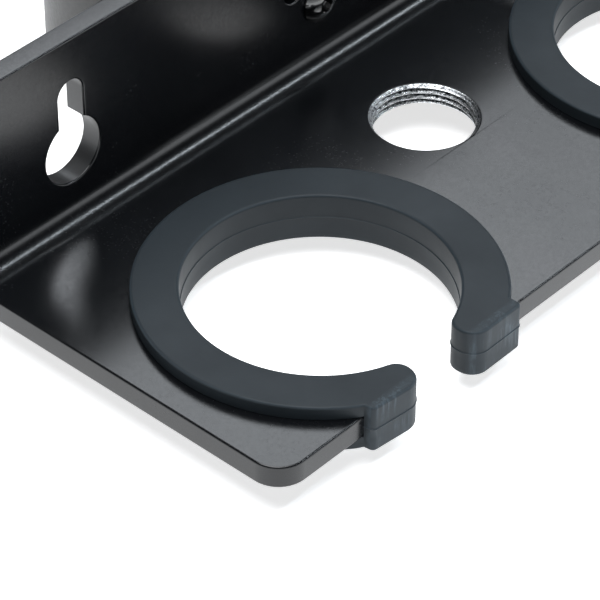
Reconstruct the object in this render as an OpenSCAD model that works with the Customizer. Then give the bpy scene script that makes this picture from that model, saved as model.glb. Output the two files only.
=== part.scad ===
// Rack for two handheld microphones or styling tools, held on an upright pole by a screw clamp
// or hung on a wall by two keyholes. Millimetres, +Z up. The origin is on the pole's axis at
// the clamp's mid-height; the rack reaches forward along -Y and its length lies along X.

/* [Bracket] */
// Length of the bent steel bracket, left to right
bracket_length = 140; // [136:1:170]
// Thickness of the steel sheet
sheet = 3.5; // [3:0.1:4]
// Depth of the shelf, from its front edge to the flange's back face
shelf_depth = 60.5; // [60:0.5:80]
// Height of the flange above the shelf's top face
flange_height = 29.3; // [28:0.1:40]
// Inside radius of the bend
bend_r = 3.5; // [1:0.1:5]
// Radius of the four outer corners
corner_r = 4.5; // [1:0.5:8]

/* [Rings] */
// Distance between the two ring centres
ring_pitch = 79.3; // [74:0.1:84]
// Distance from the shelf's front edge back to the ring centres
ring_setback = 20.8; // [19:0.1:21]
// Radius of the holder's clear bore, inside the rubber
ring_bore_r = 18.85; // [17:0.05:20]
// Radius of the hole cut in the steel for the rubber liner
cutout_r = 22; // [21.5:0.1:23]
// Outer radius of the rubber liner's flanges
liner_flange_r = 25.5; // [24.5:0.1:26]
// Thickness of rubber above and below the steel
liner_cover = 2; // [1:0.1:3]
// Width of the mouth between the two rubber lips
mouth_gap = 10.1; // [6:0.1:14]
// Width of the mouth cut in the steel
steel_mouth = 16; // [15:0.5:18]
// How far the rubber lips stand in front of the shelf
lip_front = 2; // [1:0.1:3]
// Distance from the ring's centre line to a lip's outer side
lip_reach = 14.7; // [13:0.1:15]

/* [Holes] */
// Radius of the accessory thread's crests, for a 5/8 inch 27 turn thread
thread_minor_r = 7.45; // [7:0.05:7.5]
// Radius of the accessory thread's countersunk rim
thread_rim_r = 7.94; // [7.6:0.01:8.5]
// Distance from the shelf's front edge back to the accessory thread
thread_setback = 36.6; // [30:0.1:44]
// Distance between the two keyholes
keyhole_pitch = 99; // [60:1:110]
// Radius of a keyhole's round opening
keyhole_r = 5.1; // [4:0.1:6]
// Width of a keyhole's slot
keyhole_slot = 4.6; // [4:0.1:6]
// Height of the keyhole's round opening above the shelf
keyhole_z = 11; // [9:0.5:13]
// Height of the slot's top end above the shelf
keyhole_top_z = 22.6; // [20:0.1:25]
// Height of the clamp's screws and spare holes above the shelf, at their middle
pattern_z = 14.8; // [13:0.1:16]
// Distance between the two clamp screws, one above the other
screw_pitch = 8.6; // [8:0.1:12]
// Distance between the two spare holes, side by side
spare_pitch = 10.6; // [9:0.1:14]
// Radius of the screw holes and spare holes
screw_hole_r = 1.95; // [1.85:0.05:2.5]

/* [Clamp] */
// Radius of the largest pole that the clamp holds
pole_r = 16; // [14:0.5:16]
// Thickness of the rubber jaw liner
jaw_liner = 1.5; // [1:0.1:2]
// Wall thickness of the hook
hook_wall = 4.5; // [4:0.1:6]
// Distance from the pole's axis to the flange
pole_offset = 22.5; // [22:0.1:26]
// Height of the clamp body
clamp_height = 46; // [40:1:60]
// Angle at which the hook's tip ends, counted from +X towards +Y
hook_tip_angle = 120; // [112:1:130]
// Thickness of the arm that carries the clamp screw
arm_wall = 8; // [6:0.5:12]
// Radius of the arm's rounded end, around the clamp screw
arm_end_r = 12; // [10:0.5:14]

/* [Clamp screw] */
// Radius of the M8 clamp screw
spindle_r = 4; // [3:0.5:5]
// How far the pressure foot can move in from where it is drawn
travel_in = 12.5; // [5:1.25:15]
// How far the pressure foot can move out from where it is drawn
travel_out = 8.75; // [5:1.25:10]
// Radius of the pressure foot
foot_r = 10; // [8:0.5:11]
// Radius of the knob
knob_r = 15; // [13:0.5:17]
// Length of the knob along the clamp screw
knob_length = 18; // [16:0.5:24]
// Number of finger hollows round the knob
knob_lobes = 6; // [5:1:8]

/* [Hidden] */
$fn = 96;

// Colours
coated_steel = [0.10, 0.10, 0.11];
rubber_black = [0.16, 0.18, 0.20];
cast_black = [0.14, 0.14, 0.15];
plated_steel = [0.70, 0.71, 0.72];
brass_yellow = [0.78, 0.65, 0.36];
nylon_white = [0.85, 0.85, 0.82];
plastic_black = [0.07, 0.07, 0.07];
screw_black = [0.04, 0.04, 0.04];

// A cut reaches this far past the faces it goes through
past = 1;

// Planes of the bracket
flange_back = -pole_offset;
flange_front = flange_back - sheet;
shelf_front = flange_back - shelf_depth;
shelf_top = -pattern_z;
shelf_bottom = shelf_top - sheet;
flange_top = shelf_top + flange_height;
ring_y = shelf_front + ring_setback;
liner_bottom = shelf_bottom - liner_cover;
liner_height = sheet + 2 * liner_cover;
rim_depth = 0.3;

// Rounding of the rubber lips
lip_inner_r = 2;
lip_outer_r = 0.8;

// Radii and planes of the clamp body
hook_in = pole_r + jaw_liner;
hook_out = hook_in + hook_wall;
hook_mid = (hook_in + hook_out) / 2;
tip_bead_r = hook_wall / 2 + 0.35;
foot_left = 14;
inner_corner_r = 4;
outer_corner_r = 6;
shoulder = 10;
// Shapes that join overlap by this much
seam = 2;

// Clamp screw, as distances along +X from the pole's axis
pad_face = pole_r + 0.2;
pad_back = pad_face + 2;
recess_back = pad_back + 1.8;
disc_back = pad_back + 3;
hub_back = disc_back + 2.4;
arm_in = hub_back + travel_out + 0.35;
arm_out = arm_in + arm_wall;
bush_flange = arm_out + 1;
washer_in = bush_flange + travel_in + 0.3;
knob_in = washer_in + 1;
knob_out = knob_in + knob_length;
neck_length = 3.5;
nut_length = 6.5;
cap_depth = 1.5;
nut_in = knob_out - cap_depth - nut_length;
spindle_end = nut_in + nut_length - 1;

// Radii along the clamp screw
running = 0.06;
bush_r = spindle_r + 2.5;
bush_flange_r = spindle_r + 4.5;
hub_r = 6;
pin_r = 3;
groove_r = 2.3;
clip_r = 5;
clip_seat_r = 5.6;
clip_in = pad_back + 0.85;
clip_thick = 0.7;
nut_flats_r = 6.5;
neck_r = 8.5;
cap_r = 8;

// M3.5 button head screws
shank_r = 1.7;
tapped_r = 1.75;
screw_length = 8;
head_r = 3.3;
head_height = 1.85;
head_edge = 0.35;
hex_key = 2;
hex_depth = 1.1;

// ---- Shared shapes ----

// Turns a shape drawn along +Z to lie along +X, starting at the distance x
module along_x(x) {
    translate([x, 0, 0]) rotate([0, 90, 0]) children();
}

// A plain rod along X
module rod_x(x_from, x_to, r) {
    along_x(x_from) cylinder(r = r, h = x_to - x_from);
}

// A plain hole through the flange at a place on it
module flange_hole(x, z, r) {
    translate([x, flange_back + past, z])
        rotate([90, 0, 0])
            cylinder(r = r, h = sheet + 2 * past);
}

// Rectangle whose two corners at y = 0 are rounded; it grows along +Y
module two_round_corners(width, depth, r) {
    translate([-width / 2 + r, 0]) square([width - 2 * r, depth]);
    translate([-width / 2, r]) square([width, depth - r]);
    for (side = [-1, 1])
        translate([side * (width / 2 - r), r]) circle(r);
}

// ---- Bracket ----

// Side view of the bent sheet, in Y and Z
module bent_section() {
    outer_r = bend_r + sheet;
    translate([shelf_front, shelf_bottom]) square([shelf_depth - outer_r, sheet]);
    translate([flange_front, shelf_top + bend_r]) square([sheet, flange_height - bend_r]);
    translate([flange_front - bend_r, shelf_top + bend_r])
        intersection() {
            difference() {
                circle(outer_r);
                circle(bend_r);
            }
            translate([0, -outer_r]) square(outer_r);
        }
}

module bent_sheet() {
    rotate([90, 0, 90])
        linear_extrude(bracket_length, center = true)
            bent_section();
}

// Column that rounds the shelf's two front corners
module shelf_trim() {
    translate([0, shelf_front, shelf_bottom - past])
        linear_extrude(flange_top - shelf_bottom + 2 * past)
            two_round_corners(bracket_length, shelf_depth + past, corner_r);
}

// Slab that rounds the flange's two top corners
module flange_trim() {
    translate([0, shelf_front - past, flange_top])
        rotate([-90, 0, 0])
            linear_extrude(shelf_depth + 2 * past)
                two_round_corners(bracket_length, flange_top - shelf_bottom + past, corner_r);
}

// Round hole and front mouth for a ring liner, in plan, about the ring's centre
module steel_opening() {
    circle(cutout_r);
    translate([-steel_mouth / 2, -ring_setback - past])
        square([steel_mouth, ring_setback + past]);
}

module keyhole(x) {
    slot_top = shelf_top + keyhole_top_z - keyhole_slot / 2;
    flange_hole(x, shelf_top + keyhole_z, keyhole_r);
    flange_hole(x, slot_top, keyhole_slot / 2);
    translate([x - keyhole_slot / 2, flange_front - past, shelf_top + keyhole_z])
        cube([keyhole_slot, sheet + 2 * past, slot_top - shelf_top - keyhole_z]);
}

// Hole for the accessory thread, with a small countersink on both faces
module accessory_hole() {
    translate([0, shelf_front + thread_setback, shelf_bottom]) {
        translate([0, 0, -past]) cylinder(r = thread_minor_r, h = sheet + 2 * past);
        cylinder(r1 = thread_rim_r, r2 = thread_minor_r, h = rim_depth);
        translate([0, 0, sheet - rim_depth])
            cylinder(r1 = thread_minor_r, r2 = thread_rim_r, h = rim_depth);
    }
}

module bracket() {
    color(coated_steel)
        difference() {
            intersection() {
                bent_sheet();
                shelf_trim();
                flange_trim();
            }
            for (side = [-1, 1]) {
                translate([side * ring_pitch / 2, ring_y, shelf_bottom - past])
                    linear_extrude(sheet + 2 * past) steel_opening();
                keyhole(side * keyhole_pitch / 2);
                flange_hole(side * spare_pitch / 2, 0, screw_hole_r);
                flange_hole(0, side * screw_pitch / 2, screw_hole_r);
            }
            accessory_hole();
        }
}

// ---- Rubber ring liners ----

// One lip of the liner, in plan, to the right of the mouth
module lip() {
    lip_y = -ring_setback - lip_front;
    lip_end = mouth_gap / 2;
    lip_depth = lip_front + 8;
    translate([lip_end + lip_inner_r, lip_y])
        square([lip_reach - lip_end - lip_inner_r - lip_outer_r, lip_depth]);
    translate([lip_end, lip_y + lip_inner_r])
        square([lip_reach - lip_end, lip_depth - lip_inner_r]);
    translate([lip_end + lip_inner_r, lip_y + lip_inner_r]) circle(lip_inner_r);
    translate([lip_reach - lip_outer_r, lip_y + lip_outer_r]) circle(lip_outer_r);
    translate([lip_reach - lip_inner_r, lip_y + lip_outer_r])
        square([lip_inner_r, lip_inner_r]);
}

// The liner in plan, about the ring's centre: an open ring with two square lips
module liner_plan() {
    difference() {
        union() {
            intersection() {
                circle(liner_flange_r);
                translate([-liner_flange_r, -ring_setback])
                    square([2 * liner_flange_r, ring_setback + liner_flange_r]);
            }
            lip();
            mirror([1, 0]) lip();
        }
        circle(ring_bore_r);
        translate([-mouth_gap / 2, -2 * ring_setback]) square([mouth_gap, 2 * ring_setback]);
    }
}

// The steel that sits in the liner's groove
module grooved_steel() {
    difference() {
        translate([-2 * cutout_r, -ring_setback]) square(4 * cutout_r);
        steel_opening();
    }
}

module ring_liner(side) {
    color(rubber_black)
        translate([side * ring_pitch / 2, ring_y, liner_bottom])
            difference() {
                linear_extrude(liner_height) liner_plan();
                translate([0, 0, liner_cover]) linear_extrude(sheet) grooved_steel();
            }
}

module ring_liner_left() {
    ring_liner(-1);
}

module ring_liner_right() {
    ring_liner(1);
}

// ---- Clamp body ----

// A wedge in plan between two angles that are less than 180 degrees apart
module wedge(from, to, reach) {
    middle = (from + to) / 2;
    polygon([
        [0, 0],
        reach * [cos(from), sin(from)],
        2 * reach * [cos(middle), sin(middle)],
        reach * [cos(to), sin(to)]
    ]);
}

// The hook round the pole, its flat foot on the flange and its rounded tip, in plan
module hook_plan() {
    intersection() {
        circle(hook_out);
        wedge(hook_tip_angle, 270, 2 * hook_out);
    }
    rotate(hook_tip_angle) translate([hook_mid, 0]) circle(tip_bead_r);
    translate([-foot_left, flange_back])
        square([foot_left + arm_in + seam, pole_offset - hook_in]);
    translate([-foot_left, flange_back]) square([foot_left, foot_left / 2]);
}

// The rounded corner between the foot and the arm, in plan
module corner_plan() {
    difference() {
        translate([arm_in - inner_corner_r, -hook_in - seam])
            square([inner_corner_r + seam, inner_corner_r + seam]);
        translate([arm_in - inner_corner_r, -hook_in + inner_corner_r]) circle(inner_corner_r);
    }
}

// The arm in plan, with its outer front corner rounded
module arm_plan() {
    difference() {
        translate([arm_in, flange_back]) square([arm_wall, pole_offset + arm_end_r]);
        difference() {
            translate([arm_out - outer_corner_r, flange_back]) square(outer_corner_r);
            translate([arm_out - outer_corner_r, flange_back + outer_corner_r])
                circle(outer_corner_r);
        }
    }
}

// The arm in side view: full height at the flange, then tangent to its round end
module arm_side() {
    start = [flange_back + shoulder, clamp_height / 2];
    touch = atan2(start[1], start[0]) - acos(arm_end_r / norm(start));
    tangent = arm_end_r * [cos(touch), sin(touch)];
    circle(arm_end_r);
    polygon([
        [flange_back, -start[1]], [start[0], -start[1]], [tangent[0], -tangent[1]],
        tangent, start, [flange_back, start[1]]
    ]);
}

module arm() {
    intersection() {
        translate([0, 0, -clamp_height / 2]) linear_extrude(clamp_height) arm_plan();
        rotate([90, 0, 90]) linear_extrude(arm_out + past) arm_side();
    }
}

module clamp_body() {
    color(cast_black)
        difference() {
            union() {
                translate([0, 0, -clamp_height / 2])
                    linear_extrude(clamp_height)
                        difference() {
                            union() {
                                hook_plan();
                                corner_plan();
                            }
                            circle(hook_in);
                        }
                arm();
            }
            rod_x(arm_in - past, arm_out + past, bush_r);
            for (side = [-1, 1])
                translate([0, -hook_in + past, side * screw_pitch / 2])
                    rotate([90, 0, 0])
                        cylinder(r = tapped_r, h = pole_offset - hook_in + 2 * past);
        }
}

module jaw_liner_pad() {
    color(rubber_black)
        translate([0, 0, -clamp_height / 2 + 2])
            linear_extrude(clamp_height - 4)
                difference() {
                    intersection() {
                        circle(hook_in);
                        wedge(hook_tip_angle + 2, 268, 2 * hook_in);
                    }
                    circle(pole_r);
                }
}

// ---- Clamp screws ----

// Half the domed head in section, with the radius across X and the height along Y
module head_profile() {
    dome_rise = head_height - head_edge;
    dome_r = (head_r * head_r + dome_rise * dome_rise) / (2 * dome_rise);
    square([head_r, head_edge]);
    intersection() {
        translate([0, head_height - dome_r]) circle(dome_r);
        translate([0, head_edge]) square([head_r, dome_rise]);
    }
}

module clamp_screw(z) {
    color(screw_black)
        translate([0, flange_front, z])
            rotate([90, 0, 0])
                difference() {
                    union() {
                        rotate_extrude() head_profile();
                        translate([0, 0, -screw_length]) cylinder(r = shank_r, h = screw_length);
                    }
                    translate([0, 0, head_height - hex_depth])
                        cylinder(r = hex_key / 2 / cos(30), h = hex_depth + past, $fn = 6);
                }
}

module clamp_screw_lower() {
    clamp_screw(-screw_pitch / 2);
}

module clamp_screw_upper() {
    clamp_screw(screw_pitch / 2);
}

// ---- Pressure foot and spindle ----

module spindle_bush() {
    color(brass_yellow)
        difference() {
            union() {
                rod_x(arm_in, bush_flange, bush_r);
                rod_x(arm_out, bush_flange, bush_flange_r);
            }
            rod_x(arm_in - past, bush_flange + past, spindle_r + running);
        }
}

module pressure_disc() {
    color(plated_steel)
        difference() {
            union() {
                rod_x(pad_back, disc_back, foot_r);
                rod_x(pad_back, hub_back, hub_r);
            }
            rod_x(pad_back - past, recess_back, clip_seat_r);
            rod_x(pad_back, hub_back + past, pin_r + running);
        }
}

module disc_pad() {
    color(rubber_black) rod_x(pad_face, pad_back, foot_r);
}

module disc_retaining_ring() {
    color(plated_steel)
        difference() {
            rod_x(clip_in, clip_in + clip_thick, clip_r);
            rod_x(clip_in - past, clip_in + clip_thick + past, groove_r);
        }
}

module spindle() {
    color(plated_steel)
        difference() {
            union() {
                rod_x(pad_back + 0.4, hub_back + 0.1, pin_r);
                rod_x(hub_back + 0.1, spindle_end, spindle_r);
            }
            difference() {
                rod_x(clip_in, clip_in + clip_thick, pin_r + past);
                rod_x(clip_in - past, clip_in + clip_thick + past, groove_r);
            }
        }
}

module friction_washer() {
    color(nylon_white)
        difference() {
            rod_x(washer_in, knob_in, neck_r - 1);
            rod_x(washer_in - past, knob_in + past, spindle_r + running);
        }
}

// ---- Knob ----

// The grip's outline, looking along the clamp screw
module grip_outline() {
    hollow_r = knob_r / 3;
    difference() {
        circle(knob_r);
        for (turn = [0:knob_lobes - 1])
            rotate((turn + 0.5) * 360 / knob_lobes)
                translate([knob_r + hollow_r * 0.4, 0])
                    circle(hollow_r);
    }
}

module knob() {
    color(plastic_black)
        difference() {
            union() {
                rod_x(knob_in, knob_in + neck_length, neck_r);
                along_x(knob_in + neck_length)
                    linear_extrude(knob_length - neck_length)
                        grip_outline();
            }
            rod_x(knob_in - past, knob_out + past, spindle_r + running);
            along_x(nut_in) cylinder(r = nut_flats_r / cos(30), h = nut_length + past, $fn = 6);
            rod_x(knob_out - cap_depth, knob_out + past, cap_r);
        }
}

module knob_nut() {
    color(plated_steel)
        difference() {
            along_x(nut_in) cylinder(r = nut_flats_r / cos(30), h = nut_length, $fn = 6);
            rod_x(nut_in - past, nut_in + nut_length + past, spindle_r + running);
        }
}

module knob_cap() {
    color(plastic_black) rod_x(knob_out - cap_depth, knob_out + 0.5, cap_r);
}

bracket();
ring_liner_left();
ring_liner_right();
clamp_body();
jaw_liner_pad();
clamp_screw_lower();
clamp_screw_upper();
spindle_bush();
pressure_disc();
disc_pad();
disc_retaining_ring();
spindle();
friction_washer();
knob();
knob_nut();
knob_cap();
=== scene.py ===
"""Looks of a clamp-on rack with two rubber-lined rings: detailed pieces, finishes, floor, light and camera.

Lengths in the builders are millimetres in the row frame; obj_from() turns them into metres.
"""
import math

import bmesh
import bpy
from mathutils import Matrix, Vector
from mathutils.geometry import tessellate_polygon


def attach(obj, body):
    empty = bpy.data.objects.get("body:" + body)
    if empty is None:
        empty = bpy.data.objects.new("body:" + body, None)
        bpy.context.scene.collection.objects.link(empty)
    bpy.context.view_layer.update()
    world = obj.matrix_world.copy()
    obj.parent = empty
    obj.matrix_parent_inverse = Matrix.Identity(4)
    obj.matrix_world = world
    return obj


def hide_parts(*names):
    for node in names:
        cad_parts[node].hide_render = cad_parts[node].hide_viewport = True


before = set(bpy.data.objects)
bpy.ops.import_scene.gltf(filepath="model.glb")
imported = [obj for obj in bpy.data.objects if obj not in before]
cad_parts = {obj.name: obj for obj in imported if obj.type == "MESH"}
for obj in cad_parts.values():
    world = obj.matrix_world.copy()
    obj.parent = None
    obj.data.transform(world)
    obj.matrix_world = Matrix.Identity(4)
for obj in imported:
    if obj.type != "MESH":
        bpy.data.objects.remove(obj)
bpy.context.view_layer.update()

MM = 0.001


# ---- Sizes of the object, in millimetres, in the row frame ----

HALF = 70.0                         # half the bracket's width
SHEET = 3.5                         # thickness of the sheet
BEND_IN = 3.5                       # inner radius of the fold
SHELF_TOP = -14.8
SHELF_BOTTOM = SHELF_TOP - SHEET
SHELF_FRONT = -83.0                 # Y of the shelf's front edge
FLANGE_FRONT = -26.0                # Y of the flange's face above the shelf
FLANGE_BACK = FLANGE_FRONT + SHEET  # Y of its other face, where the clamp sits
FLANGE_TOP = 14.5
RING_X = 39.65                      # a ring's centre from the middle, left or right
RING_Y = -62.2
BORE_R = 18.85                      # radius of a rubber ring's bore
CUTOUT_R = 22.0                     # radius of the sheet's cut-out and of the rubber's groove
LINER_R = 25.5                      # radius of a rubber ring's outside
LINER_TOP = SHELF_TOP + 2.0
LINER_BOTTOM = SHELF_BOTTOM - 2.0
MOUTH_HALF = 9.4                    # half the cut-out's width at the shelf's front edge
LIP_BACK = SHELF_FRONT - RING_Y     # the front edge as seen from a ring's centre
LIP_REACH = 14.7                    # how far a lip reaches along the front edge from a ring's middle
HOLE_Y = -46.4                      # centre of the tapped hole
THREAD_CREST = 7.45                 # radius at the thread's crests
THREAD_ROOT = 7.94                  # and at its roots
THREAD_PITCH = 25.4 / 27            # 27 turns to the inch
KEY_X = 49.5                        # a keyhole's centre from the middle, left or right
KEY_Z = -3.8                        # height of its round part's centre
KEY_R = 5.1
KEY_SLOT = 4.6                      # width of its slot
KEY_TOP = 7.8                       # height of the slot's end
SPARE_X = 5.3                       # a spare hole's centre from the middle, left or right
SPARE_R = 1.95                      # its centre is at height 0
CLAMP_H = 23.0                      # half the clamp's height


# ---- Plan outlines ----

def arc(cx, cy, r, a0, a1, n):
    """Points on a circle from angle a0 to a1, both ends included, in degrees."""
    return [(cx + r * math.cos(math.radians(a0 + (a1 - a0) * i / n)),
             cy + r * math.sin(math.radians(a0 + (a1 - a0) * i / n))) for i in range(n + 1)]


def circle(cx, cy, r, n):
    """A whole circle of n points, anticlockwise."""
    return arc(cx, cy, r, 0, 360, n)[:-1]


def bearing(point):
    """A point's angle about the origin, from -180 to 180 degrees."""
    return math.degrees(math.atan2(point[1], point[0]))


def rounded(points, seg):
    """A closed outline through (x, y, corner radius) points, with each corner turned into an arc.

    An arc has 1.6 times seg steps to a quarter turn, and takes less than half of each side it joins.
    """
    out = []
    count = len(points)
    for i, (x, y, r) in enumerate(points):
        if r <= 0:
            out.append((x, y))
            continue
        p = Vector((x, y))
        a = Vector(points[i - 1][:2]) - p
        b = Vector(points[(i + 1) % count][:2]) - p
        room = min(a.length, b.length) * 0.48
        a.normalize()
        b.normalize()
        half = a.angle(b) / 2
        if half > math.radians(88.5):  # nearly straight on
            out.append((x, y))
            continue
        cut = min(r / math.tan(half), room)
        radius = cut * math.tan(half)
        centre = p + (a + b).normalized() * (radius / math.sin(half))
        s = p + a * cut - centre
        e = p + b * cut - centre
        turn = s.angle(e)
        side = 1 if s.x * e.y - s.y * e.x > 0 else -1
        n = max(2, math.ceil(math.degrees(turn) / 90 * seg * 1.6))
        for k in range(n + 1):
            w = side * turn * k / n
            out.append((centre.x + s.x * math.cos(w) - s.y * math.sin(w),
                        centre.y + s.x * math.sin(w) + s.y * math.cos(w)))
    return out


def area(points):
    """The area inside an outline, above 0 when it runs anticlockwise."""
    pairs = zip([points[-1], *points[:-1]], points)
    return sum(a[0] * b[1] - b[0] * a[1] for a, b in pairs) / 2


def anticlockwise(points):
    """The outline, turned round if it runs clockwise."""
    return points if area(points) > 0 else points[::-1]


def tidy(points, near=1e-4):
    """The outline without repeated points."""
    out = []
    for p in points:
        if not out or math.dist(p, out[-1]) > near:
            out.append(p)
    if math.dist(out[0], out[-1]) <= near:
        out.pop()
    return out


def inset(points, d):
    """Moves an anticlockwise outline inwards by d, along the mitre at each point."""
    if abs(d) < 1e-9:
        return list(points)
    out = []
    n = len(points)
    for i in range(n):
        p0, p1, p2 = (Vector(points[(i + k) % n]) for k in (-1, 0, 1))
        e0 = (p1 - p0).normalized()
        e1 = (p2 - p1).normalized()
        n0 = Vector((-e0.y, e0.x))
        n1 = Vector((-e1.y, e1.x))
        m = n0 + n1
        m = n0 if m.length < 1e-6 else m.normalized()
        out.append(tuple(p1 + m * (d / max(0.4, m.dot(n0)))))
    return out


def rim(r, seg=3):
    """(inset, drop) pairs of a quarter-round edge of radius r, from the flat face to the wall."""
    return [(r * (1 - math.sin(math.pi / 2 * k / seg)), r * (1 - math.cos(math.pi / 2 * k / seg)))
            for k in range(seg + 1)]


# ---- Mesh builders ----

STRONG = 16384  # Blender's mark for a face that sets the normals at its corners
WELD = 2e-6     # vertices nearer than this, in metres, become one


class Shape:
    """Vertices and faces gathered in millimetres."""

    def __init__(self):
        self.verts = []
        self.faces = []
        self.slots = []
        self.flats = []

    def loop(self, pts):
        """Adds vertices and gives their numbers."""
        start = len(self.verts)
        self.verts.extend(tuple(p) for p in pts)
        return list(range(start, start + len(pts)))

    def hoop(self, along, radius, seg):
        """A loop round the X axis. The radius is a number or a function of the angle; 0 gives one point."""
        if radius == 0:
            return self.loop([(along, 0, 0)]) * seg
        turns = [2 * math.pi * k / seg for k in range(seg)]
        sizes = [radius(w) if callable(radius) else radius for w in turns]
        return self.loop([(along, r * math.cos(w), r * math.sin(w)) for w, r in zip(turns, sizes)])

    def face(self, ids, mat=0):
        """A face in a material slot, with repeated neighbours left out."""
        clean = [v for i, v in enumerate(ids) if v != ids[i - 1]]
        if len(clean) >= 3:
            self.faces.append(clean)
            self.slots.append(mat)

    def strip(self, a, b, mat=0):
        """Quads between two closed loops of the same length."""
        n = len(a)
        for i in range(n):
            j = (i + 1) % n
            self.face([a[i], a[j], b[j], b[i]], mat)

    def skin(self, loops):
        """Quads from each loop to the next."""
        for a, b in zip(loops, loops[1:]):
            self.strip(a, b)

    def cap(self, outer, holes=(), flip=False):
        """Fills a level outline, with holes, by triangles that face up, or down when flipped."""
        lines = [outer, *holes]
        ids = [v for line in lines for v in line]
        plan = {v: Vector((*self.verts[v][:2], 0.0)) for v in ids}
        for triangle in tessellate_polygon([[plan[v] for v in line] for line in lines]):
            corners = [ids[k] for k in triangle]
            a, b, c = (plan[v] for v in corners)
            up = (b - a).cross(c - a).z > 0
            if up == flip:
                corners.reverse()
            self.flats.append(len(self.faces))
            self.face(corners)


def obj_from(name, shape, mats, flat_angle, place=None):
    """A mesh object from a Shape, crisp where faces meet at more than flat_angle degrees.

    place turns a vertex of the shape into one in the row frame, both in millimetres.
    """
    spots = [place(v) for v in shape.verts] if place else shape.verts
    mesh = bpy.data.meshes.new(name)
    mesh.from_pydata([tuple(c * MM for c in v) for v in spots], [], shape.faces)
    for poly, m in zip(mesh.polygons, shape.slots):
        poly.material_index = m
    for m in mats:
        mesh.materials.append(m)
    bm = bmesh.new()
    bm.from_mesh(mesh)
    weight = bm.faces.layers.int.new("__mod_weightednormals_faceweight")
    bm.faces.ensure_lookup_table()
    for k in shape.flats:
        bm.faces[k][weight] = STRONG
    bmesh.ops.remove_doubles(bm, verts=bm.verts, dist=WELD)
    bmesh.ops.dissolve_degenerate(bm, edges=bm.edges, dist=1e-7)
    bmesh.ops.recalc_face_normals(bm, faces=bm.faces)
    for f in bm.faces:
        f.smooth = True
    for e in bm.edges:
        e.smooth = not (len(e.link_faces) == 2 and e.calc_face_angle(0) > math.radians(flat_angle))
    bm.to_mesh(mesh)
    bm.free()
    obj = bpy.data.objects.new(name, mesh)
    bpy.context.scene.collection.objects.link(obj)
    normals = obj.modifiers.new("face normals", "WEIGHTED_NORMAL")
    normals.keep_sharp = True
    normals.weight = 100
    normals.use_face_influence = True
    return obj


def prism(outline, z0, z1, edge):
    """An outline between two heights, with its edges rounded to a radius."""
    s = Shape()
    base = anticlockwise(tidy(outline))
    rows = [(z1 - drop, i) for i, drop in rim(edge)]
    rows += [(z0 + drop, i) for i, drop in reversed(rim(edge))]
    loops = [s.loop([(x, y, z) for x, y in inset(base, i)]) for z, i in rows]
    s.skin(loops)
    s.cap(loops[0])
    s.cap(loops[-1], flip=True)
    return s


def soft_profile(points):
    """An open (along, radius) line, with each inner corner rounded to its third number."""
    out = [points[0][:2]]
    for previous, corner, following in zip(points, points[1:], points[2:]):
        out.extend(rounded([(*previous[:2], 0), corner, (*following[:2], 0)], 4)[1:-1])
    out.append(points[-1][:2])
    return out


def tooth(phase, slope, low):
    """How far a thread stands up, from 0 to 1, at a share of its pitch."""
    return min(1.0, max(0.0, (0.5 - abs(phase % 1.0 - 0.5)) * slope - low))


# ---- Materials ----

class Nodes:
    """A few shorthands for one material's node tree."""

    def __init__(self, name):
        self.mat = bpy.data.materials.new(name)
        self.mat.use_nodes = True
        self.tree = self.mat.node_tree
        self.bsdf = next(n for n in self.tree.nodes if n.type == "BSDF_PRINCIPLED")
        self.coord = self.tree.nodes.new("ShaderNodeTexCoord").outputs["Object"]

    def feed(self, socket, value):
        """Links an input to another node's output, or sets its value."""
        if isinstance(value, bpy.types.NodeSocket):
            self.tree.links.new(value, socket)
        else:
            socket.default_value = value

    def add(self, kind, **inputs):
        """A node with its inputs by name, an underscore standing for a space."""
        node = self.tree.nodes.new(kind)
        for key, value in inputs.items():
            self.feed(node.inputs[key.replace("_", " ")], value)
        return node

    def noise(self, scale, detail=3.0, rough=0.55, stretch=None):
        """Noise of about scale cells to a metre; stretch multiplies that along each axis."""
        where = self.coord
        if stretch:
            where = self.add("ShaderNodeMapping", Vector=self.coord, Scale=stretch).outputs["Vector"]
        node = self.add("ShaderNodeTexNoise", Vector=where, Scale=scale, Detail=detail, Roughness=rough)
        return node.outputs["Fac"]

    def ramp(self, fac, lo, hi, v0, v1):
        """Turns lo to hi into v0 to v1, and holds what lies outside."""
        node = self.add("ShaderNodeMapRange", Value=fac, From_Min=lo, From_Max=hi, To_Min=v0, To_Max=v1)
        return node.outputs["Result"]

    def spread(self, fac, v0=0.0, v1=1.0):
        """Turns the range that a noise mostly fills into v0 to v1."""
        return self.ramp(fac, 0.3, 0.7, v0, v1)

    def math(self, op, a, b):
        """One operation on two values, each a number or another node's output."""
        node = self.tree.nodes.new("ShaderNodeMath")
        node.operation = op
        self.feed(node.inputs[0], a)
        self.feed(node.inputs[1], b)
        return node.outputs[0]

    def mix(self, fac, a, b):
        """From colour a to colour b; a mix node's colours are its inputs 6 and 7 and its output 2."""
        node = self.tree.nodes.new("ShaderNodeMix")
        node.data_type = "RGBA"
        self.feed(node.inputs[0], fac)
        self.feed(node.inputs[6], a)
        self.feed(node.inputs[7], b)
        return node.outputs[2]

    def edges(self, low=0.53, high=0.62):
        """Near 1 on convex edges, 0 on flat faces."""
        point = self.tree.nodes.new("ShaderNodeNewGeometry").outputs["Pointiness"]
        return self.ramp(point, low, high, 0.0, 1.0)

    def bump(self, height, strength, distance, under=None):
        """A normal raised by height, over the normal of another bump if there is one."""
        node = self.add("ShaderNodeBump", Height=height, Strength=strength, Distance=distance)
        if under is not None:
            self.tree.links.new(under, node.inputs["Normal"])
        return node.outputs["Normal"]

    def put(self, **sockets):
        """Feeds the surface's inputs by name and gives the material."""
        for key, value in sockets.items():
            self.feed(self.bsdf.inputs[key.replace("_", " ")], value)
        return self.mat


def grey(v, blue=0.0):
    """A grey, or a cool one with some blue in it."""
    return (v * (1 - blue * 0.5), v, v * (1 + blue), 1.0)


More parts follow.
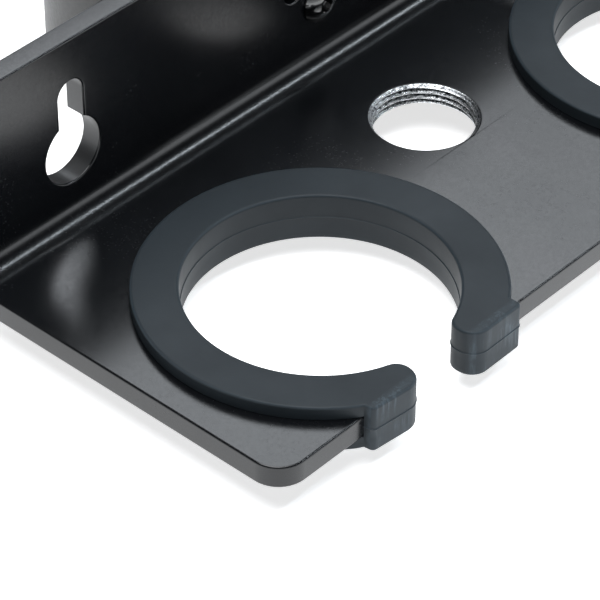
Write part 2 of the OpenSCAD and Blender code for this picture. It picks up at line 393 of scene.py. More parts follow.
def coated(name, dark, light, rough, grain, size=2600.0, blue=0.03):
    """Fine satin powder coat: a small even grain, faint cloudiness and a paler, smoother edge."""
    n = Nodes(name)
    cloud = n.noise(55.0, 4.0)
    fine = n.noise(size, 2.0, 0.6)
    wear = n.math("MULTIPLY", n.edges(), n.ramp(n.noise(420.0, 5.0), 0.35, 0.7, 0.2, 1.0))
    base = n.mix(n.spread(cloud), grey(dark, blue), grey(light, blue))
    colour = n.mix(n.math("MULTIPLY", wear, 0.35), base, grey(light * 3.2, blue))
    level = n.math("ADD", n.spread(fine, rough - 0.03, rough + 0.04), n.spread(cloud, -0.015, 0.015))
    level = n.math("SUBTRACT", level, n.math("MULTIPLY", wear, 0.06))
    lumps = n.bump(n.noise(500.0, 2.0), 0.01, 0.0002)
    normal = n.bump(fine, grain, 0.00006, lumps)
    return n.put(Base_Color=colour, Roughness=level, Normal=normal)


def painted_rim_highlight(n):
    """Above 0 on the rounded rims of a level ring, 0 on its flat faces and upright walls; it paints a
    highlight there.
    """
    facing = n.tree.nodes.new("ShaderNodeNewGeometry").outputs["Normal"]
    tilt = n.math("ABSOLUTE", n.add("ShaderNodeSeparateXYZ", Vector=facing).outputs["Z"], 0.0)
    zone = n.math("MULTIPLY", n.ramp(tilt, 0.25, 0.6, 0.0, 1.0), n.ramp(tilt, 0.98, 0.8, 0.0, 1.0))
    return n.math("MULTIPLY", zone, 0.30)


def rubber(name, dark, light, rough, blue, spec, scuffed_from=None):
    """Matte moulded rubber: dusty bloom, fine grain and a painted highlight on the edges.

    With scuffed_from, a Y in metres, the painted highlight goes on the rounded rims, and what stands in front
    of that Y is scuffed.
    """
    n = Nodes(name)

    def shade(v):
        return (v * (1 - blue * 0.55), v, v * (1 + blue * 0.45), 1.0)

    bloom = n.noise(90.0, 5.0, 0.65)
    fine = n.noise(3800.0, 2.0, 0.6)
    # Painted highlight: the rims, or else the convex edges, are mixed towards a lighter colour
    rub_and_highlight = painted_rim_highlight(n) if scuffed_from else n.math("MULTIPLY", n.edges(0.51, 0.575), 0.55)
    colour = n.mix(n.spread(bloom), shade(dark), shade(light))
    colour = n.mix(rub_and_highlight, colour, shade(light * 3.0))
    lumps = n.bump(n.noise(260.0, 3.0), 0.08, 0.0004)
    if scuffed_from:
        split = n.add("ShaderNodeSeparateXYZ", Vector=n.coord)
        zone = n.ramp(split.outputs["Y"], scuffed_from + 0.0002, scuffed_from - 0.0003, 0.0, 1.0)
        streaks = n.ramp(n.noise(1500.0, 4.0, 0.65, (1.0, 1.0, 0.10)), 0.46, 0.72, 0.0, 1.0)
        patch = n.ramp(n.noise(240.0, 3.0), 0.42, 0.62, 0.15, 1.0)
        worn = n.math("MULTIPLY", zone, n.math("MULTIPLY", streaks, patch))
        colour = n.mix(worn, colour, shade(light * 4.0))
        colour = n.mix(n.math("MULTIPLY", zone, 0.30), colour, shade(light * 2.2))
        lumps = n.bump(worn, 0.25, 0.0001, lumps)
    dulled = n.spread(bloom, rough + 0.03, rough - 0.04)
    level = n.math("SUBTRACT", dulled, n.math("MULTIPLY", rub_and_highlight, 0.18))
    normal = n.bump(fine, 0.12, 0.00005, lumps)
    return n.put(Base_Color=colour, Roughness=level, Normal=normal, Specular_IOR_Level=spec)


def metal(name, dark, light, rough, tint=(1.0, 1.0, 1.0), marks=0.3, stretch=(1.0, 1.0, 1.0)):
    """Plated or bare metal: soft clouding, fine tool marks and brighter rubbed edges."""
    n = Nodes(name)
    cloud = n.noise(160.0, 4.0)
    lines = n.noise(900.0, 3.0, 0.6, stretch)
    rub_and_highlight = n.math("MULTIPLY", n.edges(0.52, 0.6), 0.7)
    dull = (*(dark * c for c in tint), 1.0)
    bright = (*(light * c for c in tint), 1.0)
    top = (*(min(1.0, c * 1.15) for c in bright[:3]), 1.0)
    colour = n.mix(n.spread(cloud), dull, bright)
    colour = n.mix(rub_and_highlight, colour, top)
    level = n.spread(lines, rough - 0.06, rough + 0.08)
    level = n.math("ADD", level, n.math("MULTIPLY", rub_and_highlight, -0.06))
    return n.put(Base_Color=colour, Metallic=1.0, Roughness=level, Normal=n.bump(lines, marks, 0.00008))


def scratched_steel(name, centre):
    """Bare cut steel: fine tears along the turns round a vertical axis, with painted shade in the roots and a
    painted highlight on the crests.
    """
    n = Nodes(name)
    back = (-centre[0], -centre[1], 0.0)
    place = n.add("ShaderNodeMapping", Vector=n.coord, Location=back).outputs["Vector"]
    split = n.add("ShaderNodeSeparateXYZ", Vector=place)
    turn = n.math("ARCTAN2", split.outputs["Y"], split.outputs["X"])
    unrolled = n.add("ShaderNodeCombineXYZ", X=n.math("MULTIPLY", turn, 0.0035), Z=split.outputs["Z"])
    tears = n.add("ShaderNodeTexNoise", Vector=unrolled.outputs["Vector"], Scale=5200.0, Detail=5.0,
                  Roughness=0.7)
    chip = n.noise(1900.0, 5.0, 0.75)
    both = n.math("ADD", n.math("MULTIPLY", tears.outputs["Fac"], 0.55), n.math("MULTIPLY", chip, 0.45))
    point = n.tree.nodes.new("ShaderNodeNewGeometry").outputs["Pointiness"]
    # Painted shade and highlight: pointiness darkens the thread's roots and lightens its crests
    crest = n.ramp(point, 0.46, 0.56, -0.10, 0.10)
    mask = n.ramp(n.math("ADD", both, crest), 0.42, 0.57, 0.0, 1.0)
    colour = n.mix(mask, grey(0.035, 0.2), (0.84, 0.86, 0.88, 1.0))
    level = n.ramp(mask, 0.0, 1.0, 0.50, 0.22)
    return n.put(Base_Color=colour, Metallic=1.0, Roughness=level, Normal=n.bump(both, 0.7, 0.00016))


def moulded(name, base, rough, grain=0.1):
    """Moulded plastic with a spark-eroded grain and polished edges."""
    n = Nodes(name)
    spark = n.noise(2200.0, 3.0, 0.6)
    haze = n.noise(70.0, 4.0)
    rub_and_highlight = n.math("MULTIPLY", n.edges(0.52, 0.6), 0.5)
    colour = n.mix(n.spread(haze), grey(base * 0.85), grey(base * 1.15))
    colour = n.mix(rub_and_highlight, colour, grey(min(1.0, base * 1.8)))
    level = n.spread(spark, rough - 0.04, rough + 0.05)
    level = n.math("SUBTRACT", level, n.math("MULTIPLY", rub_and_highlight, 0.12))
    normal = n.bump(spark, grain, 0.00006)
    return n.put(Base_Color=colour, Roughness=level, Normal=normal, Specular_IOR_Level=0.45)


POWDER = coated("powder_coat_black", 0.0020, 0.0030, 0.232, grain=0.007, blue=0.35)
# A paler copy of the powder coat for the keyhole walls: painted light, standing in for the light that falls
# on them
PAINTED_LIGHT_COAT = coated("powder_coat_painted_light", 0.022, 0.034, 0.34, grain=0.03, size=1800.0)
CAST = coated("casting_coat_grey", 0.014, 0.020, 0.44, grain=0.10, size=1500.0)
RUBBER = rubber("ring_rubber", 0.0190, 0.0240, 0.50, blue=0.45, spec=0.20, scuffed_from=-0.0835)
PAD = rubber("pad_rubber", 0.007, 0.010, 0.62, blue=0.03, spec=0.3)
SCREW = metal("black_oxide", 0.05, 0.09, 0.15, marks=0.03)
ZINC = metal("zinc_plate", 0.55, 0.70, 0.30, tint=(0.97, 0.98, 1.0), stretch=(8.0, 1.0, 1.0))
SPRING = metal("spring_steel", 0.16, 0.24, 0.34)
BRASS = metal("brass", 0.62, 0.78, 0.26, tint=(1.0, 0.78, 0.42), stretch=(6.0, 1.0, 1.0))
BARE = scratched_steel("bare_thread_steel", (0.0, HOLE_Y * MM))
NYLON = moulded("nylon_natural", 0.40, 0.42)
PLASTIC = moulded("knob_plastic", 0.007, 0.36, grain=0.16)

# The black oxide carries a clear, glossy film
film = SCREW.node_tree.nodes["Principled BSDF"].inputs
film["Coat Weight"].default_value = 1.0
film["Coat Roughness"].default_value = 0.04


# ---- Bracket, built as a flat pattern and then folded ----

NEUTRAL = BEND_IN + SHEET / 2            # bend radius of the line that keeps its length
BEND_Y = FLANGE_FRONT - BEND_IN          # axis of the fold
BEND_Z = SHELF_TOP + BEND_IN
BEND_V = BEND_Y - SHELF_FRONT            # where the fold starts, from the front edge
BEND_LEN = NEUTRAL * math.pi / 2
FLANGE_V = BEND_V + BEND_LEN             # where the flange starts
TOP_V = FLANGE_V + FLANGE_TOP - BEND_Z   # the flange's top edge
BEND_ROWS = 10
COAT, STEEL, EDGE = range(3)             # material slots of the bracket
THREAD_SEG = 144                         # vertices round the tapped hole
THREAD_ROWS = 46                         # rows of its thread


def folded(v):
    """Flat pattern to the bent sheet: (x, distance from the front edge, depth below the inner face)."""
    x, d, t = v
    if d <= BEND_V:
        return (x, SHELF_FRONT + d, SHELF_TOP - t)
    if d >= FLANGE_V:
        return (x, FLANGE_FRONT + t, BEND_Z + d - FLANGE_V)
    w = (d - BEND_V) / BEND_LEN * math.pi / 2
    r = BEND_IN + t
    return (x, BEND_Y + r * math.sin(w), BEND_Z - r * math.cos(w))


def bend_rows():
    """Distances from the front edge of the rows that the fold is bent at."""
    return [BEND_V + BEND_LEN * k / BEND_ROWS for k in range(BEND_ROWS + 1)]


def flange_at(z):
    """The distance from the front edge, in the flat pattern, of a height on the flange."""
    return FLANGE_V + z - BEND_Z


def sheet_rows(r):
    """(depth, inset) rows through the sheet, with both its edges rounded to radius r."""
    return [(drop, i) for i, drop in rim(r)] + [(SHEET - drop, i) for i, drop in reversed(rim(r))]


def bracket_outline():
    """The flat pattern: rounded corners, bend rows on both sides and the two ring cut-outs."""
    corner = 4.5
    a = math.degrees(math.asin(MOUTH_HALF / CUTOUT_R))
    pts = arc(-HALF + corner, corner, corner, 180, 270, 10)
    for cx in (-RING_X, RING_X):
        pts += [(cx - MOUTH_HALF, 0.0)]
        pts += arc(cx, RING_Y - SHELF_FRONT, CUTOUT_R, 270 - a, -90 + a, 88)
        pts += [(cx + MOUTH_HALF, 0.0)]
    pts += arc(HALF - corner, corner, corner, -90, 0, 10)
    pts += [(HALF, d) for d in bend_rows()]
    pts += arc(HALF - corner, TOP_V - corner, corner, 0, 90, 10)
    pts += arc(-HALF + corner, TOP_V - corner, corner, 90, 180, 10)
    pts += [(-HALF, d) for d in reversed(bend_rows())]
    return tidy(pts)


def keyhole_outline(cx):
    """A keyhole in the flat pattern, round below and slotted above, anticlockwise."""
    half = KEY_SLOT / 2
    a = math.degrees(math.asin(half / KEY_R))
    slot = arc(cx, flange_at(KEY_TOP) - half, half, 0, 180, 20)
    body = arc(cx, flange_at(KEY_Z), KEY_R, 90 + a, 450 - a, 60)
    return tidy(slot + body)


def plain_hole(s, line, wall):
    """Loops down a hole with rounded rims; wall is the material slot of its middle row."""
    rings = [s.loop([(x, y, t) for x, y in inset(line, -i)]) for t, i in sheet_rows(0.30)]
    middle = len(rings) // 2 - 1
    for k, (a, b) in enumerate(zip(rings, rings[1:])):
        s.strip(a, b, mat=wall if k == middle else COAT)
    return rings


def tapped_hole(s, cx, cy):
    """Loops down the threaded hole: a coated rim at each face, and a helix that fades out towards them."""
    def level(r, t):
        return s.loop([(x, y, t) for x, y in circle(cx, cy, r, THREAD_SEG)])

    rims = ((0.34, 0.0), (0.12, 0.06))  # past the root's radius, and down from the face
    first = 0.16                        # depth of the helix's first row
    runout = 0.35                       # depth in which it reaches its full height
    rings = [level(THREAD_ROOT + wide, down) for wide, down in rims]
    for k in range(THREAD_ROWS + 1):
        t = first + (SHEET - 2 * first) * k / THREAD_ROWS
        fade = max(0.0, min(1.0, (t - 0.1) / runout, (SHEET - 0.1 - t) / runout))
        row = []
        for i in range(THREAD_SEG):
            w = 2 * math.pi * i / THREAD_SEG
            height = tooth(t / THREAD_PITCH + i / THREAD_SEG, 2.3, 0.05) * fade
            r = THREAD_ROOT - (THREAD_ROOT - THREAD_CREST) * height
            row.append((cx + r * math.cos(w), cy + r * math.sin(w), t))
        rings.append(s.loop(row))
    rings += [level(THREAD_ROOT + wide, SHEET - down) for wide, down in reversed(rims)]
    for k, (a, b) in enumerate(zip(rings, rings[1:])):
        s.strip(a, b, mat=COAT if k in (0, len(rings) - 2) else STEEL)
    return rings


def sheet_face(s, face, outside, shelf_holes, flange_holes):
    """Fills one face of the flat pattern: rows of quads in the fold, triangles on shelf and flange."""
    def on_edge(sign, d):
        """The vertex on the left (-1) or right (1) edge that is nearest to a distance."""
        near = [v for v in face if abs(s.verts[v][0] - sign * HALF) <= 1]
        return min(near, key=lambda v: abs(s.verts[v][1] - d))

    def stretch(first, last):
        """The outline's vertices from one to another."""
        i, j = face.index(first), face.index(last)
        return [face[(i + k) % len(face)] for k in range((j - i) % len(face) + 1)]

    left = [on_edge(-1, d) for d in bend_rows()]
    right = [on_edge(1, d) for d in bend_rows()]
    for k in range(BEND_ROWS):
        quad = [left[k], right[k], right[k + 1], left[k + 1]]
        s.face(quad if outside else quad[::-1])
    s.cap(stretch(left[0], right[0]), shelf_holes, flip=outside)
    s.cap(stretch(right[-1], left[-1]), flange_holes, flip=outside)


def bracket_shape():
    """The flat pattern with all its holes."""
    s = Shape()
    outer = bracket_outline()
    loops = [s.loop([(x, y, t) for x, y in inset(outer, i)]) for t, i in sheet_rows(0.34)]
    s.skin(loops)
    flange_holes = []
    for side in (-1, 1):
        flange_holes.append(plain_hole(s, keyhole_outline(side * KEY_X), EDGE))
        flange_holes.append(plain_hole(s, circle(side * SPARE_X, flange_at(0), SPARE_R, 40), COAT))
    tapped = tapped_hole(s, 0, HOLE_Y - SHELF_FRONT)
    for end in (0, -1):
        sheet_face(s, loops[end], end == -1, [tapped[end]], [hole[end] for hole in flange_holes])
    return s


bracket = obj_from("bracket_sheet", bracket_shape(), [POWDER, BARE, PAINTED_LIGHT_COAT], place=folded, flat_angle=50)
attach(bracket, "rack")
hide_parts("bracket")


# ---- Rubber ring liners ----

def lip_points(side, worn):
    """One lip's outline from the mouth to its outer side, as (x, y, corner radius).

    side is -1 for a left lip and 1 for a right one. The worn lip is fuller and rounder at the mouth.
    """
    if worn:
        pts = [(4.95, -23.3, 3.0), (14.35, -22.3, 0.8), (14.6, LIP_BACK, 0.0)]
    else:
        pts = [(5.05, -22.85, 2.7), (14.8, -22.75, 0.7), (14.75, LIP_BACK, 0.0)]
    return [(side * x, y, r) for x, y, r in pts]


def throat_corner(side, r, end):
    """The rounded corner between the bore and a lip's end, from the bore outwards."""
    cx = end + r
    cy = -math.sqrt((BORE_R + r) ** 2 - cx ** 2)
    return [(side * x, y) for x, y in arc(cx, cy, r, bearing((-cx, -cy)), 180, 8)]


def liner_loops():
    """The liner's outline about its centre, and the same loop drawn in to the bottom of its groove.

    The last two values are where the stretch that is drawn in starts, and how many points it has.
    """
    right = rounded([(5.05, -15.0, 0), *lip_points(1, False), (25.0, LIP_BACK, 0)], 8)[1:-1]
    left = rounded([(-4.95, -15.0, 0), *lip_points(-1, True), (-25.0, LIP_BACK, 0)], 8)[1:-1]
    right = throat_corner(1, 2.0, 5.05) + right
    left = throat_corner(-1, 2.35, 4.95) + left
    outer = arc(0, 0, LINER_R, bearing(right[-1]), bearing(left[-1]) + 360, 150)
    inner = arc(0, 0, BORE_R, bearing(left[0]) + 360, bearing(right[0]), 150)
    outline = right + outer[1:-1] + left[::-1] + inner[1:-1]
    last = len(outer) - 1
    lead = 7  # steps in from each end that follow the front edge before the cut-out starts
    mouth = bearing((MOUTH_HALF, -math.sqrt(CUTOUT_R ** 2 - MOUTH_HALF ** 2)))
    drawn_in = []
    for k, (x, y) in enumerate(outer):
        j = min(k, last - k)
        if j <= lead:
            edge_x = LIP_REACH + (MOUTH_HALF - LIP_REACH) * j / lead
            drawn_in.append((math.copysign(edge_x, x), LIP_BACK + 0.02))
        else:
            w = math.radians(mouth + (180 - 2 * mouth) * (k - lead) / (last - 2 * lead))
            drawn_in.append((CUTOUT_R * math.cos(w), CUTOUT_R * math.sin(w)))
    groove = right + drawn_in[1:-1] + left[::-1] + inner[1:-1]
    return outline, groove, len(right), last - 1


def liner_shape(cx):
    """A ring of rubber with rounded rims, a groove for the sheet and a fine parting line round its middle."""
    s = Shape()
    outline, groove, first, count = liner_loops()
    r = 0.42
    mid = (SHELF_TOP + SHELF_BOTTOM) / 2
    flat_rows = (0.1, 0.19, 0.28)  # rows on the flat faces that stop the rims' shading from spreading
    rows = [(LINER_TOP, r + more, outline) for more in reversed(flat_rows)]
    rows += [(LINER_TOP - drop, i, outline) for i, drop in rim(r, 4)]
    rows += [(SHELF_TOP + 0.02, 0.0, outline), (SHELF_TOP + 0.02, 0.0, groove)]
    rows += [(mid + h, i, groove) for h, i in ((0.13, 0.0), (0.05, -0.10), (-0.03, -0.10), (-0.13, 0.0))]
    rows += [(SHELF_BOTTOM - 0.02, 0.0, groove), (SHELF_BOTTOM - 0.02, 0.0, outline)]
    rows += [(LINER_BOTTOM + drop, i, outline) for i, drop in reversed(rim(r, 4))]
    rows += [(LINER_BOTTOM, r + more, outline) for more in flat_rows]
    loops = []
    for z, i, line in rows:
        moved = inset(line, i)
        if line is groove:
            moved = [line[k] if first <= k < first + count else p for k, p in enumerate(moved)]
        loops.append(s.loop([(cx + x, RING_Y + y, z) for x, y in moved]))
    s.skin(loops)
    s.cap(loops[0])
    s.cap(loops[-1], flip=True)
    return s


for side, word in ((-1, "left"), (1, "right")):
    liner = obj_from("ring_rubber_" + word, liner_shape(side * RING_X), [RUBBER], flat_angle=50)
    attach(liner, "rack")
    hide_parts("ring_liner_" + word)


# ---- Clamp body ----

HOOK_OUT = 22.0   # radii of the hook about the pole's centre
HOOK_IN = 17.5
ARM_OUT = 40.7    # X of the arm's two faces
ARM_IN = 32.7
BOSS_R = 12.0     # radius of the arm's end about the screw's axis


def clamp_outline(end_y):
    """The clamp in plan: hook, foot, corner and arm, the arm ending at end_y."""
    tip = math.radians(120)              # where the hook's beaded tip is centred
    hook_mid = (HOOK_OUT + HOOK_IN) / 2
    bead = 2.6
    soft = 0.9                           # rounding of the arm's end
    outer_corner, inner_corner = 6.0, 4.0
    pts = arc(0, 0, HOOK_OUT, 123.7, 264, 72)
    pts += foot_corner()
    pts += arc(ARM_OUT - outer_corner, FLANGE_BACK + outer_corner, outer_corner, -90, 0, 10)
    pts += [(ARM_OUT, end_y - soft)]
    pts += arc(ARM_OUT - soft, end_y - soft, soft, 0, 90, 4)
    pts += arc(ARM_IN + soft, end_y - soft, soft, 90, 180, 4)
    pts += arc(ARM_IN - inner_corner, inner_corner - HOOK_IN, inner_corner, 0, -90, 8)
    pts += [(6.0, -HOOK_IN)]
    pts += arc(0, 0, HOOK_IN, 272, 124, 76)
    pts += arc(hook_mid * math.cos(tip), hook_mid * math.sin(tip), bead, -87, 151, 22)
    return tidy(pts, 1e-3)


def foot_corner():
    """Where the hook's back meets the flat foot on the flange."""
    x, soft = -14.0, 0.8
    y = FLANGE_BACK + soft
    return [(x, -16.97), (x, y)] + arc(x + soft, y, soft, 180, 270, 4)


def clamp_shape():
    """The clamp's rows from top to bottom; the arm narrows to a round boss about the screw."""
    s = Shape()
    root_y = -12.5  # where the arm starts to narrow, at its top and bottom edges
    reach = math.hypot(root_y, CLAMP_H)
    touch = math.atan2(CLAMP_H, root_y) - math.acos(BOSS_R / reach)
    tangent_y, tangent_z = BOSS_R * math.cos(touch), BOSS_R * math.sin(touch)

    def end_y(z):
        """Where the arm ends at a height: on the boss, or on the straight flank that touches it."""
        h = min(abs(z), CLAMP_H - 0.001)
        if h <= tangent_z:
            return math.sqrt(max(0.0, BOSS_R ** 2 - h * h))
        f = (h - tangent_z) / (CLAMP_H - tangent_z)
        return tangent_y + (root_y - tangent_y) * f

    r = 0.7
    # Rows between the rims, closest together near the top and bottom of the boss
    inner = [22.0, 20.0, 17.5, 15.0, 13.0, tangent_z + 0.3, tangent_z]
    inner += [11.2 * math.cos(math.pi / 2 * k / 12) for k in range(1, 13)]
    inner = sorted({round(h, 4) for h in inner if h < CLAMP_H - r}, reverse=True)
    heights = [(CLAMP_H - drop, i) for i, drop in rim(r, 4)]
    heights += [(h, 0.0) for h in inner] + [(-h, 0.0) for h in reversed(inner) if h > 1e-6]
    heights += [(-CLAMP_H + drop, i) for i, drop in reversed(rim(r, 4))]
    loops = []
    for z, i in heights:
        line = anticlockwise(clamp_outline(end_y(z)))
        loops.append(s.loop([(x, y, z) for x, y in inset(line, i)]))
    s.skin(loops)
    s.cap(loops[0])
    s.cap(loops[-1], flip=True)
    return s


clamp = obj_from("clamp_casting", clamp_shape(), [CAST], flat_angle=40)
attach(clamp, "rack")
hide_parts("clamp_body")


def jaw_outline():
    """The jaw's lining in plan: a band of rubber just inside the hook."""
    outer, inner = HOOK_IN - 0.05, 16.0
    start, end = 122.5, 267.5
    return arc(0, 0, outer, start, end, 80) + arc(0, 0, inner, end, start, 80)


jaw = obj_from("jaw_rubber", prism(jaw_outline(), -21, 21, 0.35), [PAD], flat_angle=50)
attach(jaw, "rack")
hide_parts("jaw_liner_pad")


# ---- Clamp screws ----

def screw_shape():
    """A button head with a hexagon socket, its axis along +X with the head's seat at 0."""
    s = Shape()
    seg = 96
    head_r, rise, edge_h, socket_r = 3.3, 1.5, 0.35, 1.32
    dome = (head_r ** 2 + rise ** 2) / (2 * rise)
    profile = [(0.0, 0.0), (0.0, head_r - 0.12), (0.12, head_r), (edge_h, head_r)]
    for k in range(1, 13):
        r = head_r - (head_r - socket_r) * k / 12
        profile.append((edge_h + math.sqrt(dome ** 2 - r * r) - (dome - rise), r))
    top = profile[-1][0]
    loops = [s.hoop(along, r, seg) for along, r in profile]

    def hexagon(across, w):
        """A hexagon's radius at an angle, from its size across the flats, with blunted corners."""
        flat = across / 2 / math.cos((w + math.pi / 6) % (math.pi / 3) - math.pi / 6)
        return min(flat, across / 2 / math.cos(math.pi / 6) - 0.10)

    for depth, across in ((-0.02, 2.16), (0.05, 2.0), (1.0, 1.98), (1.12, 1.84)):
        loops.append(s.hoop(top - depth, lambda w: hexagon(across, w), seg))
    loops.append(s.hoop(top - 1.5, 0, seg))
    s.skin(loops)
    return s


def in_flange(z, roll):
    """Where a screw's vertices go: at a height on the flange, turned by roll about its own axis."""
    c, k = math.cos(roll), math.sin(roll)
    return lambda v: (v[1] * c - v[2] * k, FLANGE_FRONT - 0.01 - v[0], z + v[1] * k + v[2] * c)


for word, z, roll in (("lower", -4.3, 0.35), ("upper", 4.3, 0.9)):
    screw = obj_from("button_screw_" + word, screw_shape(), [SCREW], place=in_flange(z, roll), flat_angle=40)
    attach(screw, "rack")
    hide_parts("clamp_screw_" + word)


# ---- Bush, pressure foot and spindle, all along +X ----

def turned_obj(name, points, mat, body, node):
    """A piece turned about the X axis from its (along, radius, corner radius) profile."""
    s = Shape()
    s.skin([s.hoop(along, r, 96) for along, r in soft_profile(points)])
    obj = obj_from(name, s, [mat], flat_angle=40)
    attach(obj, body)
    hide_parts(node)


turned_obj("thread_bush",
           [(32.5, 4.1), (32.5, 6.5, 0.25), (32.9, 6.5, 0.0), (40.6, 6.5, 0.0), (40.6, 8.5, 0.12),
            (41.7, 8.5, 0.3), (41.7, 4.5, 0.2), (41.2, 4.1, 0.0), (32.5, 4.1)],
           BRASS, "rack", "spindle_bush")

turned_obj("foot_disc",
           [(20.0, 0.0), (20.0, 5.6, 0.1), (18.2, 5.6, 0.15), (18.2, 9.9, 0.2), (21.2, 9.9, 0.6),
            (21.2, 6.6, 0.5), (22.0, 6.0, 0.4), (23.6, 6.0, 0.45), (23.6, 3.1, 0.2), (23.2, 3.06)],
           ZINC, "pressure_foot", "pressure_disc")

turned_obj("foot_pad",
           [(16.2, 0.0), (16.2, 2.4, 0.2), (16.5, 2.7, 0.15), (16.5, 3.4, 0.15), (16.2, 3.7, 0.2),
            (16.2, 5.5, 0.2), (16.5, 5.8, 0.15), (16.5, 6.5, 0.15), (16.2, 6.8, 0.2), (16.2, 10.0, 0.45),
            (18.2, 10.0, 0.1), (18.2, 0.0)],
           PAD, "pressure_foot", "disc_pad")


def spindle_shape():
    """The clamp screw: an M8 thread of 1.25 mm pitch and a plain pin that the foot turns on."""
    s = Shape()
    seg = 64
    pitch, root, depth = 1.25, 3.28, 0.70
    start, end = 23.75, 70.9
    count = int((end - start) / pitch * 10)
    rows = []
    for k in range(count + 1):
        x = start + (end - start) * k / count
        fade = max(0.0, min(1.0, (x - start) / 0.9, (end - x) / 0.9))

        def side(w):
            return root + depth * tooth(x / pitch - w / (2 * math.pi), 2.6, 0.15) * fade

        rows.append(s.hoop(x, side, seg))
    pin = [(18.7, 0.0), (18.7, 2.8), (18.9, 3.0), (19.05, 3.0), (19.05, 2.3), (19.75, 2.3), (19.75, 3.0),
           (23.7, 3.0)]
    head = [s.hoop(x, r, seg) for x, r in pin]
    s.skin([*head, *rows, s.hoop(71.0, 0, seg)])
    return s


spindle = obj_from("clamp_screw_thread", spindle_shape(), [ZINC], flat_angle=34)
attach(spindle, "clamp_knob")
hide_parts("spindle")

turned_obj("knob_washer",
           [(54.5, 4.2), (54.5, 7.5, 0.3), (55.45, 7.5, 0.3), (55.45, 4.2, 0.1), (54.5, 4.2)],
           NYLON, "clamp_knob", "friction_washer")


# ---- Knob ----

LOBES = 6
CREST_R = 15.0     # the grip's circle
HOLLOW_R = 5.0     # radius of a hollow between two lobes
HOLLOW_AT = 17.0   # its centre from the axis
BLEND = 0.9        # how softly a hollow runs into the circle


def grip_radius(w):
    """The grip's outline: hollows cut into a circle, with the crests between them rounded over."""
    step = 2 * math.pi / LOBES
    off = (w % step) - step / 2
    inside = HOLLOW_R ** 2 - (HOLLOW_AT * math.sin(off)) ** 2
    cut = HOLLOW_AT * math.cos(off) - math.sqrt(inside) if inside > 0 else 99.0
    middle = 13.0  # taken off the two radii to keep the powers small, then put back
    crest_part = math.exp(-(CREST_R - middle) / BLEND)
    hollow_part = math.exp(-min(40.0, cut - middle) / BLEND)
    return middle - BLEND * math.log(crest_part + hollow_part)


def knob_shape():
    """The hand knob: a collar, a lobed grip with rounded edges, and a recess for the cap."""
    s = Shape()
    seg = 192
    back, front = 59.0, 73.5
    back_r, front_r = 1.4, 2.0
    rows = []

    def plain(line):
        """Round rows through (along, radius) points."""
        rows.extend(s.hoop(x, r, seg) for x, r in line)

    def grip(x, less):
        """A row of the grip's outline, made smaller by less."""
        rows.append(s.hoop(x, lambda w: grip_radius(w) - less, seg))

    plain([(55.6, 4.2), (55.6, 7.9), (55.75, 8.3), (56.1, 8.5), (58.4, 8.5), (58.8, 8.8)])
    for k in range(1, 7):
        w = math.pi / 2 * k / 6
        grip(back + back_r * (1 - math.cos(w)), back_r * (1 - math.sin(w)))
    for x in (62.0, 64.0, 66.0, 68.0, 70.0):
        grip(x, 0.0)
    for k in range(9):
        w = math.pi / 2 * k / 8
        grip(front - front_r + front_r * math.sin(w), front_r * (1 - math.cos(w)))
    plain([(front, 9.4), (front, 8.5), (73.35, 8.2), (73.0, 8.12), (72.0, 8.1), (72.0, 4.2)])
    s.skin([*rows, rows[0]])
    return s


knob = obj_from("knob_grip", knob_shape(), [PLASTIC], flat_angle=46)
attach(knob, "clamp_knob")
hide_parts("knob")

turned_obj("knob_button",
           [(72.05, 0.0), (72.05, 7.95, 0.1), (73.6, 7.95, 0.5), (74.0, 7.1, 0.6), (74.0, 4.0, 0.3),
            (73.8, 3.6, 0.3), (73.8, 0.0)],
           PLASTIC, "clamp_knob", "knob_cap")

for node, mat in (("disc_retaining_ring", SPRING), ("knob_nut", ZINC)):
    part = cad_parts[node]
    part.data.materials.clear()
    part.data.materials.append(mat)


# ---- Floor, light and camera ----

FLOOR_REACH = 6.0      # metres each way
FLOOR_GAP = 0.0003     # metres under the clamp


def floor_material():
    """A pale floor that glows a little, so that the object's shadow stays light."""
    n = Nodes("studio_floor")
    colour = n.mix(n.spread(n.noise(3.0, 3.0)), grey(0.93), grey(0.95))
    return n.put(Base_Color=colour, Roughness=0.9, Specular_IOR_Level=0.1,
                 Emission_Color=(1.0, 1.0, 1.0, 1.0), Emission_Strength=0.7)


floor_mesh = bpy.data.meshes.new("studio_floor")
height = -CLAMP_H * MM - FLOOR_GAP
corners = [(x * FLOOR_REACH, y * FLOOR_REACH, height) for x, y in ((-1, -1), (1, -1), (1, 1), (-1, 1))]
floor_mesh.from_pydata(corners, [], [(0, 1, 2, 3)])
floor_mesh.materials.append(floor_material())
floor = bpy.data.objects.new("studio_floor", floor_mesh)
bpy.context.scene.collection.objects.link(floor)


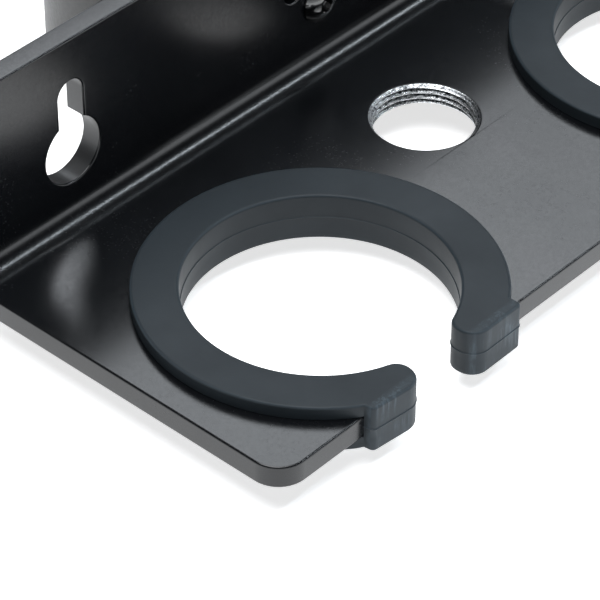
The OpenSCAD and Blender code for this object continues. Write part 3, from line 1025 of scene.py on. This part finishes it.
def softbox(name, where, at, wide, high, power, colour, level=False):
    """A rectangular lamp facing a point; level lays its long side along the object's X axis."""
    lamp = bpy.data.lights.new(name, "AREA")
    lamp.shape = "RECTANGLE"
    lamp.size, lamp.size_y = wide, high
    lamp.energy = power
    lamp.color = colour
    obj = bpy.data.objects.new(name, lamp)
    obj.location = where
    facing = (Vector(at) - Vector(where)).normalized()
    if level:
        long_side = (Vector((1, 0, 0)) - facing * facing.x).normalized()
        short_side = long_side.cross(facing)
        obj.rotation_euler = Matrix((long_side, short_side, -facing)).transposed().to_euler()
    else:
        obj.rotation_euler = facing.to_track_quat("-Z", "Y").to_euler()
    bpy.context.scene.collection.objects.link(obj)


softbox("overhead", (-0.3, 0.0, 2.0), (-0.3, 0.0, 0.0), 1.6, 1.6, 48.0, (0.96, 0.98, 1.0))
softbox("back_right", (0.918, 0.717, 1.33), (0.0, -0.05, 0.0), 0.78, 0.9, 9.8, (0.90, 0.95, 1.0))
softbox("front_strip", (0.87, -0.57, 1.126), (0.0, -0.05, 0.0), 0.9, 0.06, 6.0, (0.84, 0.93, 1.0), level=True)
softbox("front_low", (0.90, -1.30, 0.20), (0.0, -0.05, 0.0), 1.3, 0.40, 2.6, (0.92, 0.96, 1.0))

# The room is brightest at the horizon and dark overhead
world = bpy.data.worlds.new("studio")
world.use_nodes = True
room = world.node_tree
up = room.nodes.new("ShaderNodeSeparateXYZ")
room.links.new(room.nodes.new("ShaderNodeTexCoord").outputs["Generated"], up.inputs[0])
fall = room.nodes.new("ShaderNodeMapRange")
for key, value in (("From Min", 0.0), ("From Max", 0.36), ("To Min", 1.3), ("To Max", 0.04)):
    fall.inputs[key].default_value = value
room.links.new(up.outputs["Z"], fall.inputs["Value"])
room.nodes["Background"].inputs["Color"].default_value = (0.93, 0.965, 1.0, 1.0)
room.links.new(fall.outputs["Result"], room.nodes["Background"].inputs["Strength"])
bpy.context.scene.world = world
bpy.context.scene.view_settings.view_transform = "Standard"

# The camera stands where the photograph was taken from, as fitted to its circles and straight edges
camera_data = bpy.data.cameras.new("photo_view")
camera_data.sensor_fit = "HORIZONTAL"
camera_data.sensor_width = 36.0
camera_data.lens = 200.16
camera_data.clip_start = 0.01
camera_data.clip_end = 50.0
camera = bpy.data.objects.new("photo_view", camera_data)
camera.location = (-0.2961, -0.2929, 0.2684)
target = Vector((-0.04247, -0.06113, -0.0148))
camera.rotation_euler = (target - camera.location).to_track_quat("-Z", "Y").to_euler()
bpy.context.scene.collection.objects.link(camera)
bpy.context.scene.camera = camera
